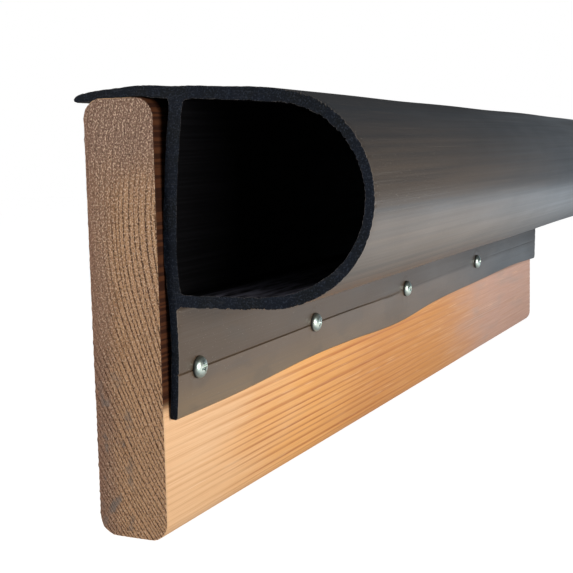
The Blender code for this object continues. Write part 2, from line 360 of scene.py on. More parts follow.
def refined(loop, spacing):
    """The loop as a smooth curve through its points, still sharp at its corners. spacing(y, z) is in mm."""
    ahead = np.roll(loop, -1, axis=0) - loop
    length = np.linalg.norm(ahead, axis=1)[:, None]
    direction = ahead / length
    length_before = np.roll(length, 1, axis=0)
    before = np.roll(direction, 1, axis=0)
    mean = before * length_before + direction * length
    mean /= np.linalg.norm(mean, axis=1)[:, None]
    sharp = (np.sum(before * direction, axis=1) < math.cos(math.radians(CORNER_DEG)))[:, None]
    leaving = np.where(sharp, direction, mean) * length
    arriving = np.roll(np.where(sharp, before, mean), -1, axis=0) * length
    pieces = []
    for i, point in enumerate(loop):
        target = loop[(i + 1) % len(loop)]
        steps = max(1, math.ceil(length[i, 0] / spacing(*((point + target) / 2)) - 0.2))
        t = (np.arange(steps) / steps)[:, None]
        pieces.append(eased(t, point, leaving[i], target, arriving[i]))
    return np.concatenate(pieces)


def outward(loop):
    """Unit normals that point out of the material, which lies on the loop's left."""
    along = np.roll(loop, -1, axis=0) - np.roll(loop, 1, axis=0)
    along /= np.linalg.norm(along, axis=1)[:, None]
    return np.stack([along[:, 1], -along[:, 0]], axis=1)


def inside_loops(points, loops):
    """Which (y, z) points lie in the material between the loops, by the even-odd rule."""
    odd = np.zeros(len(points), bool)
    for loop in loops:
        for (y0, z0), (y1, z1) in zip(loop, np.roll(loop, -1, axis=0)):
            crosses = (z0 > points[:, 1]) != (z1 > points[:, 1])
            if z1 != z0:
                odd ^= crosses & (points[:, 0] < y0 + (points[:, 1] - z0) * (y1 - y0) / (z1 - z0))
    return odd


def in_material(triangles, edges):
    """The triangles on the left of the loops' edges, and all that they reach without crossing one. A test of
    centres would fail for slivers along a straight edge."""
    owner = {(a, b): t for t, (i, j, k) in enumerate(triangles) for a, b in ((i, j), (j, k), (k, i))}
    loop_edges = {*edges, *((b, a) for a, b in edges)}
    kept = {owner[edge] for edge in edges}
    waiting = list(kept)
    while waiting:
        i, j, k = triangles[waiting.pop()]
        for a, b in ((i, j), (j, k), (k, i)):
            beyond = owner.get((b, a))
            if (a, b) not in loop_edges and beyond is not None and beyond not in kept:
                kept.add(beyond)
                waiting.append(beyond)
    return [triangles[t] for t in sorted(kept)]


def filled(loops, grid):
    """Triangles over the area between the loops. Returns the loose points inside, and triangles whose indices
    run through the loops' points and then the loose ones."""
    low = np.min([loop.min(0) for loop in loops], axis=0)
    high = np.max([loop.max(0) for loop in loops], axis=0)
    rows = np.arange(low[1] + grid / 2, high[1], grid * math.sqrt(3) / 2)
    columns = np.arange(low[0], high[0], grid)
    loose = np.array([(y + k % 2 * grid / 2, z) for k, z in enumerate(rows) for y in columns])
    loose = loose[inside_loops(loose, loops)]
    rim = np.concatenate(loops)
    clear = np.ones(len(loose), bool)
    for point in rim:
        clear &= np.sum((loose - point) ** 2, axis=1) > (RIM_CLEARANCE * grid) ** 2
    loose = loose[clear]
    edges = []
    start = 0
    for loop in loops:
        edges += [(start + i, start + (i + 1) % len(loop)) for i in range(len(loop))]
        start += len(loop)
    every = np.concatenate([rim, loose])
    result = delaunay_2d_cdt([Vector(point) for point in every], edges, [], 0, 1e-6)
    original = [ids[0] for ids in result[3]]
    triangles = [[original[i] for i in face] for face in result[2]]
    return loose, np.array(in_material(triangles, edges))


# ---- meshes


def band(a, n):
    """Faces between two rings of n points, the first from a on and the second from a + n on."""
    return [(a + i, a + (i + 1) % n, a + n + (i + 1) % n, a + n + i) for i in range(n)]


class Shape:
    """Points, faces and each face's material slot, gathered piece by piece, in mm."""

    def __init__(self):
        self.points = []
        self.rim = []
        self.faces = []
        self.slots = []
        self.count = 0

    def add(self, points, rim):
        """Adds points and returns the first one's index. rim is 1 on a sawn face's edge and 0 inside it."""
        self.points.append(points)
        self.rim.append(np.full(len(points), rim))
        self.count += len(points)
        return self.count - len(points)

    def face(self, faces, slot):
        self.faces += faces
        self.slots += [slot] * len(faces)

    def sweep(self, stations, loop, slot, place):
        """A tube of the loop along X, its points moved by place(). Returns the first point's index."""
        normals = outward(loop)
        rings = []
        for x in stations:
            ring = np.column_stack([np.full(len(loop), x), loop])
            rings.append(place(ring, normals))
        first = self.add(np.concatenate(rings), 1.0)
        for k in range(len(stations) - 1):
            self.face(band(first + k * len(loop), len(loop)), slot)
        return first

    def cap(self, x, starts, loops, filling, slot, place):
        """Closes an end. starts are the loops' first points in this shape, filling is what filled() gave."""
        loose, triangles = filling
        inner = self.add(place(np.column_stack([np.full(len(loose), x), loose])), 0.0)
        rims = [start + np.arange(len(loop)) for start, loop in zip(starts, loops)]
        index = np.concatenate([*rims, inner + np.arange(len(loose))])
        self.face([tuple(face) for face in index[triangles].tolist()], slot)

    def extrude(self, stations, loops, slots, cut_slot, grid, place):
        """A tube of each loop, and both ends closed between them."""
        starts = [self.sweep(stations, loop, slot, place) for loop, slot in zip(loops, slots)]
        last = [start + (len(stations) - 1) * len(loop) for start, loop in zip(starts, loops)]
        filling = filled(loops, grid)
        self.cap(stations[0], starts, loops, filling, cut_slot, place)
        self.cap(stations[-1], last, loops, filling, cut_slot, place)

    def build(self, name, materials, sharp_deg):
        mesh = bpy.data.meshes.new(name)
        mesh.from_pydata(metres(np.concatenate(self.points)).tolist(), [], self.faces)
        for material in materials:
            mesh.materials.append(material)
        mesh.polygons.foreach_set("material_index", np.array(self.slots, np.int32))
        rim = mesh.attributes.new(RIM, "FLOAT", "POINT")
        rim.data.foreach_set("value", np.concatenate(self.rim).astype(np.float32))
        mend_normals(mesh)
        shade(mesh, sharp_deg)
        return add_object(name, mesh)


def shade(mesh, sharp_deg):
    """Smooth shading, except over edges that turn more than sharp_deg."""
    mesh.shade_smooth()
    mesh.set_sharp_from_angle(angle=math.radians(sharp_deg))


def mend_normals(mesh):
    """Turns every face outwards."""
    bm = bmesh.new()
    bm.from_mesh(mesh)
    bmesh.ops.recalc_face_normals(bm, faces=bm.faces)
    bm.to_mesh(mesh)
    bm.free()


def keep_rest(obj):
    """Stores each point's place at rest, in mm, so that a material stays put on a piece that bends."""
    places = (mesh_points(obj.data) - DATUM) / MM
    attribute = obj.data.attributes.new(REST, "FLOAT_VECTOR", "POINT")
    attribute.data.foreach_set("vector", places.astype(np.float32).ravel())


def apply_modifiers(obj):
    """Gives the piece the mesh that its modifiers make."""
    bpy.context.view_layer.update()
    evaluated = obj.evaluated_get(bpy.context.evaluated_depsgraph_get())
    mesh = bpy.data.meshes.new_from_object(evaluated)
    obj.modifiers.clear()
    obj.data = mesh


def combine(obj, operation, others):
    """Joins the other closed solids to the piece, or cuts them out of it, and removes them."""
    for other in others:
        modifier = obj.modifiers.new("combine", "BOOLEAN")
        modifier.operation = operation
        modifier.object = other
        modifier.solver = "MANIFOLD"
    apply_modifiers(obj)
    for other in others:
        bpy.data.objects.remove(other)


def hole_cutter(centre, front_y, back_y):
    mesh = bpy.data.meshes.new("hole")
    bm = bmesh.new()
    bmesh.ops.create_cone(
        bm,
        cap_ends=True,
        segments=40,
        radius1=HOLE_RADIUS * MM,
        radius2=HOLE_RADIUS * MM,
        depth=(back_y - front_y) * MM,
    )
    bm.to_mesh(mesh)
    bm.free()
    cutter = add_object("hole", mesh)
    cutter.location = metres((centre[0], (front_y + back_y) / 2, centre[2]))
    cutter.rotation_euler = (math.pi / 2, 0.0, 0.0)
    return cutter


def drilled(obj, front_y, back_y):
    """Cuts a round hole along Y through the piece at each screw."""
    combine(obj, "DIFFERENCE", [hole_cutter(centre, front_y, back_y) for centre in SCREW_CENTRES])


# ---- rubber extrusion


def settled(points):
    """Where points of the straight extrusion lie on the real one, screwed down and slightly uneven."""
    x, y, z = points.T.copy()
    near = smooth(y, SPLIT_Y, SPLIT_Y + NEAR_RUN)
    lower = share(z, TOE_Z, GUIDE_Z)
    upper = share(z, GUIDE_Z, FLANGE_TOP_Z)
    wander = through(TOE_WANDER, x) * (1 - lower) + through(GUIDE_WANDER, x) * lower
    bow = FLANGE_BOW * np.sin(math.pi * share(z, TOE_Z, WEB_FOOT_Z))
    shift = bow * (1 - through(BOW_KEPT, x)) - through(TOE_RIPPLE, x) * (1 - lower) ** TOE_RIPPLE_POWER
    for screw_x, _, screw_z in SCREW_CENTRES:
        away = np.hypot(x - screw_x, z - screw_z)
        shift = shift + DIMPLE_DEPTH * np.exp(-((away / DIMPLE_RADIUS) ** 2))
        shift = shift - SQUEEZE_HEIGHT * np.exp(-(((away - SQUEEZE_RADIUS) / SQUEEZE_WIDTH) ** 2))
    in_guide = np.clip(1 - np.abs(z - GUIDE_Z) / GUIDE_HALF_WIDTH, 0.0, 1.0) * smooth(y, *GUIDE_FACE)
    shift = shift - GUIDE_FILL * in_guide * smooth(x, *GUIDE_FADE)
    uneven = UNEVENNESS * (1 - near)
    y = y + near * shift + uneven * ripples(points, UNEVEN_SIZE, seed=11)
    z = z + near * wander * (1 - upper) + uneven * ripples(points, UNEVEN_SIZE, seed=12)
    z = z + ROOF_RIPPLE * smooth(z, *ROOF_RISE) * ripples(points, ROOF_RIPPLE_SIZE, seed=13)
    over_rail = LIP_SAG + LIP_THINNING * smooth(points[:, 2], *LIP_TOP)
    taken = over_rail + (1 - over_rail) * smooth(y, *SAG_GROWTH)
    z = z - through(SAG, x) * taken * smooth(points[:, 2], *SEAL_SAG_RISE)
    return np.column_stack([x, y, z])


def fray(points):
    """How deep the saw tore the rim beside each (y, z)."""
    depth = np.full(len(points), FRAY_DEPTH)
    for y, z, reach, most in TORN_PATCHES:
        depth += most * np.exp(-((points[:, 1] - y) ** 2 + (points[:, 2] - z) ** 2) / reach**2)
    fine = ripples(points, (THROUGH_CUT, 0.6, 0.6), seed=21)
    coarse = ripples(points, (THROUGH_CUT, 2.2, 2.2), seed=22)
    return depth * np.clip(0.8 * fine + 0.4 * coarse + 0.15, 0.0, 1.2)


def sawn(points):
    """The sawn face's relief: how far each point lies below the end plane."""
    marks = ripples(points, (THROUGH_CUT, 7.0, 0.9), seed=23)
    grit = ripples(points, (THROUGH_CUT, 1.3, 1.3), seed=24)
    return SAWN_DEPTH + SAWN_RELIEF * marks + SAWN_RELIEF * grit


def seal_place(points, normals=None):
    """Settles points of the extrusion and roughens those at its sawn ends."""
    moved = settled(points)
    for end, inward in ((STRIP_LOW[0], 1.0), (STRIP_HIGH[0], -1.0)):
        depth = np.abs(points[:, 0] - end)
        fade = np.exp(-((depth / FRAY_REACH) ** 2))
        moved[:, 0] += inward * np.where(depth < FRAY_REACH, fade * sawn(points), 0.0)
        if normals is not None:
            moved[:, 1:] -= normals * (fade * fray(points))[:, None]
    return moved


def seal_spacing(y, z):
    """How far apart the section's points are: wide on the rail's side, close where the cut is torn."""
    if y > -4.0 and z < 138:
        return HIDDEN_SPACING
    if y > -6.0 and z < 76:
        return FLANGE_SPACING
    if y > -9.5 and z < 138:
        return HIDDEN_SPACING
    if y < -35.0 and z > 104.0 or y < -12.0 and z < 82.0:
        return TORN_SPACING
    return SKIN_SPACING


def seal_stations():
    """Places of the section along X, close together at the cut ends and near a screw."""
    start, end = STRIP_LOW[0], STRIP_HIGH[0]
    ends = (0.0, 0.35, 0.9, 1.8, 3.4)
    last_gap = 3.0
    places = [start + step for step in ends]
    while places[-1] < end - ends[-1] - last_gap:
        away = min(abs(places[-1] + 1.0 - centre[0]) for centre in SCREW_CENTRES)
        places.append(places[-1] + next(step for reach, step in SCREW_STEPS if away < reach))
    return places + [end - step for step in reversed(ends)]


def make_seal():
    """Lip, web, flange and bulb are one extrusion. On the real seal the nose moves while the roots stay on
    the rail.
    """
    loops = [refined(loop, seal_spacing) for loop in seal_profile()]
    shape = Shape()
    shape.extrude(seal_stations(), loops, slots=(0, 2), cut_slot=1, grid=CAP_GRID, place=seal_place)
    seal = shape.build("seal_extrusion", [rubber_skin(), rubber_cut(), rubber_inside()], sharp_deg=32)
    drilled(seal, *FLANGE_HOLE)
    keep_rest(seal)
    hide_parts("seal_strip", "seal_bulb")
    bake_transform(seal)
    return seal


# ---- timber rail


def ring_count(points):
    """How many growth rings lie between the board's front face and each point."""
    below = PITH_Z - points[:, 2]
    count = points[:, 1] * (RINGS_PER_MM + RING_TIGHTENING * below) + RING_CURVATURE * below**2
    for amplitude, wave, phase in RING_WAVES:
        count = count + amplitude * np.sin(points @ np.array(wave) + phase)
    uneven = sum(amplitude * np.sin(rate * count + phase) for amplitude, rate, phase in RING_UNEVEN)
    return count + uneven


def latewood(points):
    """1 on a ring's dense dark band, 0 in its soft pale wood."""
    phase = ring_count(points) % 1.0
    return smooth(phase, LATEWOOD_START, LATEWOOD_FULL) * (1 - smooth(phase, LATEWOOD_STOP, 1.0))


def rail_place(points, normals=None):
    """Grain relief on the board's long faces, torn fibres on its ends and a worn arris between them."""
    moved = points.copy()
    end_gap = np.minimum(points[:, 0], RAIL_SIZE[0] - points[:, 0])
    inward = np.where(points[:, 0] < RAIL_SIZE[0] / 2, 1.0, -1.0)
    late = latewood(points)
    fibres = 0.5 * ripples(points, (THROUGH_CUT, 0.8, 0.9), seed=31)
    fibres += 0.4 * ripples(points, (THROUGH_CUT, 0.5, 2.0), seed=32)
    torn = END_TEAR - END_RELIEF * late + END_RELIEF * fibres
    moved[:, 0] += np.where(end_gap < END_REACH, inward * torn * (1 - end_gap / END_REACH), 0.0)
    if normals is not None:
        relief = FACE_RELIEF * late + FACE_RELIEF * ripples(points, FACE_RIPPLE_SIZE, seed=33) - FACE_SINK
        arris = ARRIS * np.clip(1 - end_gap / ARRIS_REACH, 0.0, 1.0) ** 2
        arris = arris * (1 + ARRIS_UNEVENNESS * np.clip(fibres, -1.0, 1.0))
        moved[:, 1:] += normals * (relief - arris)[:, None]
    moved[:, 2] -= LIP_SAG * through(SAG, points[:, 0]) * smooth(points[:, 2], *RAIL_SAG_RISE)
    return moved


def rail_stations():
    """Places of the board's section along X, close together at its ends."""
    ends = (0.0, 0.12, 0.25, 0.5, 1.5, 4.0)
    middle = np.linspace(ends[-1], RAIL_SIZE[0] - ends[-1], num=48)
    return [*ends[:-1], *middle, *(RAIL_SIZE[0] - step for step in reversed(ends[:-1]))]


def make_rail():
    outline = end_profile("door_rail")
    if signed_area(outline) < 0:
        outline = outline[::-1]
    loops = [refined(outline, lambda y, z: RAIL_SPACING)]
    shape = Shape()
    shape.extrude(rail_stations(), loops, slots=(0,), cut_slot=1, grid=END_GRID, place=rail_place)
    rail = shape.build("timber_rail", [long_grain(), end_grain()], sharp_deg=50)
    drilled(rail, *PILOT_HOLE)
    keep_rest(rail)
    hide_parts("door_rail")
    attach(rail, "rail_and_strip")
    return rail


# ---- screws


def lathe(points, steps):
    """A closed solid turned about Z from (radius, z) points that start and end on the axis."""
    angles = np.arange(steps) * 2 * math.pi / steps
    cosines, sines = np.cos(angles), np.sin(angles)
    rings = [np.column_stack([r * cosines, r * sines, np.full(steps, z)]) for r, z in points[1:-1]]
    verts = np.concatenate([[(0.0, 0.0, points[0][1])], *rings, [(0.0, 0.0, points[-1][1])]])
    faces = []
    for i in range(steps):
        j = (i + 1) % steps
        faces.append((0, 1 + i, 1 + j))
        for k in range(len(rings) - 1):
            a = 1 + k * steps
            faces.append((a + i, a + steps + i, a + steps + j, a + j))
        a = 1 + (len(rings) - 1) * steps
        faces.append((a + i, len(verts) - 1, a + j))
    return verts, faces


def plain_object(name, verts, faces):
    mesh = bpy.data.meshes.new(name)
    mesh.from_pydata((np.asarray(verts) * MM).tolist(), [], faces)
    mend_normals(mesh)
    return add_object(name, mesh)


def screw_core():
    """The screw without its thread and recess: crown, the head's underside, shank and point."""
    crown = []
    for i in range(CROWN_STEPS + 1):
        angle = math.pi / 2 * i / CROWN_STEPS
        radius = HEAD_RADIUS * math.sin(angle) ** (2 / HEAD_POWER)
        crown.append((radius, HEAD_HEIGHT * max(0.0, math.cos(angle)) ** (2 / HEAD_POWER)))
    neck = [(HEAD_RADIUS - 0.12, -0.08), (SHANK_RADIUS + 0.35, -0.1), (SHANK_RADIUS, -0.5)]
    shank = [(SHANK_RADIUS, z) for z in np.linspace(-1.5, POINT_LENGTH - SCREW_LENGTH, 12)]
    point = [(SHANK_RADIUS * 0.55, -SCREW_LENGTH + 1.9), (0.12, -SCREW_LENGTH + 0.1), (0.0, -SCREW_LENGTH)]
    verts, faces = lathe(crown + neck + shank + point, HEAD_STEPS)
    return plain_object("screw", verts, faces)


def screw_thread():
    """A helical ridge that grows out of the shank, runs to the point and dies away there."""
    top = -THREAD_START
    bottom = THREAD_STOP - SCREW_LENGTH
    turns = (top - bottom) / THREAD_PITCH
    count = int(turns * THREAD_STEPS)
    verts = []
    for i in range(count + 1):
        done = i / count
        angle = 2 * math.pi * turns * done
        z = top + (bottom - top) * done
        taper = min(1.0, (z + SCREW_LENGTH) / POINT_LENGTH)
        fade = (1 - done) * turns / THREAD_FADE_TURNS + 0.15
        growth = min(1.0, done * turns / THREAD_GROWTH_TURNS, fade)
        root = SHANK_RADIUS * (0.25 + 0.75 * taper) - 0.22
        crest = root + 0.12 + (THREAD_RADIUS - SHANK_RADIUS + 0.1) * growth
        corners = ((root, THREAD_HALF_BASE), (crest, THREAD_HALF_CREST))
        for radius, height in (*corners, *((radius, -height) for radius, height in reversed(corners))):
            verts.append((radius * math.cos(angle), radius * math.sin(angle), z + height))
    faces = [(3, 2, 1, 0), tuple(4 * count + k for k in range(4))]
    for i in range(count):
        faces += band(4 * i, 4)
    return plain_object("thread", verts, faces)


def recess_cutters():
    """Two crossed blades and the cone they meet in."""
    cutters = []
    top = HEAD_HEIGHT + RECESS_RISE
    bottom = HEAD_HEIGHT - RECESS_DEPTH
    ends = ((top, RECESS_SPAN * 0.58, RECESS_WIDTH * 0.58), (bottom, RECESS_SPAN * 0.18, RECESS_WIDTH * 0.36))
    for turn in (0.0, math.pi / 2):
        cosine, sine = math.cos(turn), math.sin(turn)
        verts = []
        for z, half_span, half_width in ends:
            for side_x, side_y in ((-1, -1), (1, -1), (1, 1), (-1, 1)):
                x, y = side_x * half_span, side_y * half_width
                verts.append((x * cosine - y * sine, x * sine + y * cosine, z))
        cutters.append(plain_object("blade", verts, [(0, 1, 2, 3), (7, 6, 5, 4), *band(0, 4)]))
    cone = [(0.0, top), (1.25, top), (0.5, bottom - 0.1), (0.0, 0.35)]
    cutters.append(plain_object("cone", *lathe(cone, steps=24)))
    return cutters


def flange_face(centre):
    """Where the settled flange's face lies under the rim of a head at centre."""
    skin = seal_profile()[0]
    y, z = skin.T
    front = skin[(y > -6.0) & (y < -2.0) & (z > GUIDE_Z + 0.6) & (z < FLANGE_TOP_Z - 1.0)]
    front = front[np.argsort(front[:, 1])]
    face_y = float(np.interp(centre[2], front[:, 1], front[:, 0]))
    rim = []
    for angle in np.arange(12) * math.pi / 6:
        x = centre[0] + HEAD_RADIUS * math.cos(angle)
        rim.append((x, face_y, centre[2] + HEAD_RADIUS * math.sin(angle)))
    return float(settled(np.array(rim))[:, 1].mean())


def mark_seat(mesh):
    """Stores how near each point of a head is to its seat, where dirt gathers and contact shade is painted.
    """
    near_seat = smooth(mesh_points(mesh)[:, 2] / MM, *SEAT_DIRT_AND_SHADE)
    rim = mesh.attributes.new(RIM, "FLOAT", "POINT")
    rim.data.foreach_set("value", near_seat.astype(np.float32))


def make_screws():
    blank = screw_core()
    combine(blank, "UNION", [screw_thread()])
    combine(blank, "DIFFERENCE", recess_cutters())
    mark_seat(blank.data)
    zinc = zinc_plate()
    for node, centre, turn_deg in zip(SCREW_NODES, SCREW_CENTRES, RECESS_TURNS_DEG):
        mesh = blank.data.copy()
        seat = metres((centre[0], flange_face(centre) + SEAT_SINK, centre[2]))
        spin = Matrix.Rotation(math.pi / 2, 4, "X") @ Matrix.Rotation(math.radians(turn_deg), 4, "Z")
        mesh.transform(Matrix.Translation(Vector(seat)) @ spin)
        mesh.materials.clear()
        mesh.materials.append(zinc)
        shade(mesh, sharp_deg=38)
        screw = add_object(node.replace("flange", "pan_head"), mesh)
        keep_rest(screw)
        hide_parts(node)
        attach(screw, "rail_and_strip")
    bpy.data.objects.remove(blank)


# ---- materials


class Shader:
    """Writes the node tree of a material or a world, a node at a time. Most methods return the new output."""

    def __init__(self, owner):
        owner.use_nodes = True
        self.owner = owner
        self.tree = owner.node_tree

    def node(self, kind, inputs, output=0, **settings):
        made = self.tree.nodes.new("ShaderNode" + kind)
        for name, value in settings.items():
            setattr(made, name, value)
        self.feed(made, inputs)
        return made.outputs[output]

    def feed(self, node, inputs):
        for key, value in inputs.items():
            socket = node.inputs[key]
            if isinstance(value, bpy.types.NodeSocket):
                self.tree.links.new(value, socket)
            elif socket.type == "RGBA":
                socket.default_value = (*value, 1.0)
            else:
                socket.default_value = value

    def rim(self):
        return self.node("Attribute", {}, output="Fac", attribute_name=RIM)

    def split(self, at):
        self.node("SeparateXYZ", {0: at})
        return self.tree.nodes[-1].outputs

    def math(self, operation, *values):
        return self.node("Math", dict(enumerate(values)), operation=operation)

    def vector(self, operation, *values, output=0):
        return self.node("VectorMath", dict(enumerate(values)), output=output, operation=operation)

    def noise(self, size, seed, detail=3):
        """Noise from 0 to 1 whose grains measure size mm along X, Y and Z, fixed to the piece at rest."""
        shift = (seed, 1.7 * seed, 2.3 * seed)
        scaled = self.vector("MULTIPLY_ADD", self.at, tuple(1 / s for s in size), shift)
        return self.node("TexNoise", {"Vector": scaled, "Scale": 1.0, "Detail": detail})

    def step(self, value, low, high, to_low=0.0, to_high=1.0):
        """A smooth step from to_low at low to to_high at high. Works downwards too."""
        inputs = {"Value": value, "From Min": low, "From Max": high, "To Min": to_low, "To Max": to_high}
        return self.node("MapRange", inputs, interpolation_type="SMOOTHSTEP")

    def mix(self, factor, first, second):
        return self.node("Mix", {"Factor": factor, 6: first, 7: second}, output=2, data_type="RGBA")

    def mix_value(self, factor, first, second):
        return self.node("Mix", {"Factor": factor, 2: first, 3: second}, data_type="FLOAT")

    def coat(self, tint, *amounts):
        """Lays the tint over the colour so far, by the product of the amounts."""
        self.colour = self.mix(self.times(*amounts), self.colour, tint)

    def times(self, *values):
        return reduce(partial(self.math, "MULTIPLY"), values)

    def plus(self, *values):
        """The sum of the values. A pair is a value and its weight."""
        terms = [self.times(*value) if isinstance(value, tuple) else value for value in values]
        return reduce(partial(self.math, "ADD"), terms)

    def finish(self, roughness, height, bump=1.0, specular=0.5, metallic=0.0):
        """Feeds the material's surface, whose relief has its height in mm, and returns the material."""
        normal = self.node("Bump", {"Height": height, "Distance": MM, "Strength": bump})
        inputs = {"Base Color": self.colour, "Roughness": roughness, "Normal": normal}
        inputs |= {"Specular IOR Level": specular, "Metallic": metallic}
        self.feed(self.tree.nodes["Principled BSDF"], inputs)
        return self.owner


def rest_shader(name):
    """A new material's shader. Its patterns follow the places at rest."""
    s = Shader(bpy.data.materials.new(name))
    s.at = s.node("Attribute", {}, output="Vector", attribute_name=REST)
    return s


def end_distance(shader, x, low, high):
    """Distance to the nearer end of an extrusion that runs from low to high."""
    return shader.math("MINIMUM", shader.math("SUBTRACT", x, low), shader.math("SUBTRACT", high, x))


def rubber_skin():
    """Satin extruded skin: lines drawn by the die, a brown bloom that cools along X, dust and scuffs. Painted
    light on it: shade on the bulb's top and on the flange under the bulb, warm light on the flange's toe and
    highlights along the sawn ends.
    """
    s = rest_shader("seal_rubber_skin")
    x, y, z = s.split(s.at)
    fine = s.noise((130, 0.45, 0.45), seed=1)
    broad = s.noise((260, 3.5, 3.5), seed=2, detail=2)
    streak = s.noise((150, 1.1, 1.1), seed=10, detail=2)
    cloud = s.noise((38, 16, 16), seed=3)
    along = s.plus(x, (cloud, 90.0))
    flange = s.times(s.step(z, 79, 73), s.step(y, -9, -6))
    warm = s.mix(s.step(broad, 0.4, 0.6), (0.062, 0.048, 0.037), (0.04, 0.033, 0.028))
    warm = s.mix(flange, warm, (0.096, 0.065, 0.042))
    cool = s.mix(s.step(broad, 0.35, 0.65), (0.038, 0.043, 0.051), (0.03, 0.034, 0.041))
    cool = s.mix(flange, cool, (0.034, 0.034, 0.036))
    cooling = s.mix_value(flange, s.step(along, 120, 330), s.step(along, 290, 450))
    s.colour = s.mix(cooling, warm, cool)
    # Painted shade from the bulb: the flange above the guide line is darker, and its specular weaker.
    above = s.times(s.step(z, GUIDE_Z - 1.2, GUIDE_Z + 0.6), flange, s.step(x, 400, 330, 0.6, 1.0))
    s.coat((0.014, 0.006, 0.0), above, s.step(x, 120, 240, 0.38, 0.6))
    # Painted warm light: the flange below the guide line is paler and warmer, most at the near end.
    toe = s.times(s.step(z, GUIDE_Z - 1.5, TOE_Z + 1.0), flange, s.step(x, 280, 0))
    s.coat((0.32, 0.23, 0.125), toe, 0.32)
    smudge = s.step(s.noise((22, 12, 9), seed=17), 0.5, 0.66)
    s.coat((0.05, 0.043, 0.037), smudge, flange, 0.28)
    # Painted shade: the bulb's top is darker and bluer, less so towards +X.
    s.coat((0.014, 0.019, 0.027), s.step(z, 118, 137), s.step(x, 360, 150, 0.15, 0.9))
    s.coat((0.095, 0.084, 0.074), s.step(fine, 0.55, 0.75, 0.0, 0.45))
    dust = s.step(s.noise((0.9, 0.5, 0.5), seed=4, detail=1), 0.7, 0.76)
    s.coat((0.24, 0.22, 0.19), dust, 0.6)
    # Painted highlight: a paler band along the skin at both sawn ends, where the cut edge catches light.
    rim = s.step(end_distance(s, x, STRIP_LOW[0], STRIP_HIGH[0]), 0.75, 0.3)
    s.coat((0.16, 0.14, 0.12), rim, 0.35)
    drawn = s.times(streak, s.plus(0.14, (flange, -0.08)))
    roughness = s.plus(0.19, (cloud, 0.12), (fine, 0.08), drawn, (dust, 0.2))
    roughness = s.plus(roughness, (flange, 0.04), s.step(z, 133, 140, 0.0, 0.24))
    height = s.plus((fine, 0.05), (broad, 0.1), (streak, 0.03), (dust, 0.03))
    shine = s.plus(0.4, (streak, 0.2), (above, -0.14))
    return s.finish(roughness, height, bump=0.6, specular=shine)


def rubber_cut():
    """Sawn face of solid dark rubber: matt, with fine grit, saw marks and a paler rim, partly smeared rubber
    and partly painted highlight.
    """
    s = rest_shader("seal_rubber_cut")
    grit = s.noise((5, 0.48, 0.48), seed=5)
    marks = s.noise((5, 4.5, 0.35), seed=6, detail=2)
    patch = s.noise((20, 9, 9), seed=7, detail=2)
    s.colour = s.mix(s.step(patch, 0.35, 0.65), (0.002, 0.004, 0.007), (0.003, 0.006, 0.013))
    s.coat((0.03, 0.04, 0.062), s.step(grit, 0.5, 0.7, 0.0, 0.6))
    s.coat((0.045, 0.048, 0.058), s.step(marks, 0.58, 0.75, 0.0, 0.3))
    # A paler rim on the cut face: partly smeared rubber, partly painted highlight along the edge.
    smear_and_highlight = s.times(s.step(s.rim(), 0.72, 0.98), s.step(grit, 0.38, 0.62))
    s.coat((0.085, 0.075, 0.07), smear_and_highlight, 0.7)
    height = s.plus((grit, 0.16), (marks, 0.1))
    roughness = s.plus(0.62, (patch, 0.2))
    return s.finish(roughness, height, specular=0.14)


def rubber_inside():
    """The hollow's skin, painted nearly black as the hollow's shade, with streaks and a trace of release
    powder.
    """
    s = rest_shader("seal_rubber_inside")
    _, y, z = s.split(s.at)
    fine = s.noise((90, 0.6, 0.6), seed=8)
    powder = s.noise((14, 2.5, 2.5), seed=9, detail=4)
    resting = s.times(s.step(z, 95, 87), s.step(y, -12, -16))
    # Painted shade: the hollow's rubber is near black, far darker than the same rubber outside.
    s.colour = s.mix(s.step(fine, 0.4, 0.7), (0.001, 0.001, 0.0015), (0.003, 0.003, 0.004))
    s.coat((0.13, 0.13, 0.17), s.step(powder, 0.3, 0.7), resting)
    height = s.plus((fine, 0.06), (powder, 0.03))
    roughness = s.plus(0.5, (powder, 0.25))
    return s.finish(roughness, height, specular=0.08)


def latewood_mask(s):
    """latewood() as nodes: the same growth rings, and 1 on their dark bands."""
    _, y, z = s.split(s.at)
    below = s.math("SUBTRACT", PITH_Z, z)
    count = s.times(y, s.math("MULTIPLY_ADD", below, RING_TIGHTENING, RINGS_PER_MM))
    count = s.plus(count, s.times(below, below, RING_CURVATURE))
    for amplitude, wave, phase in RING_WAVES:
        angle = s.math("ADD", s.vector("DOT_PRODUCT", s.at, wave, output="Value"), phase)
        count = s.math("MULTIPLY_ADD", s.math("SINE", angle), amplitude, count)
    uneven = count
    for amplitude, rate, phase in RING_UNEVEN:
        angle = s.math("MULTIPLY_ADD", count, rate, phase)
        uneven = s.math("MULTIPLY_ADD", s.math("SINE", angle), amplitude, uneven)
    phase = s.math("FRACT", uneven)
    rising = s.step(phase, LATEWOOD_START, LATEWOOD_FULL)
    return s.times(rising, s.step(phase, LATEWOOD_STOP, 1.0, 1.0, 0.0))


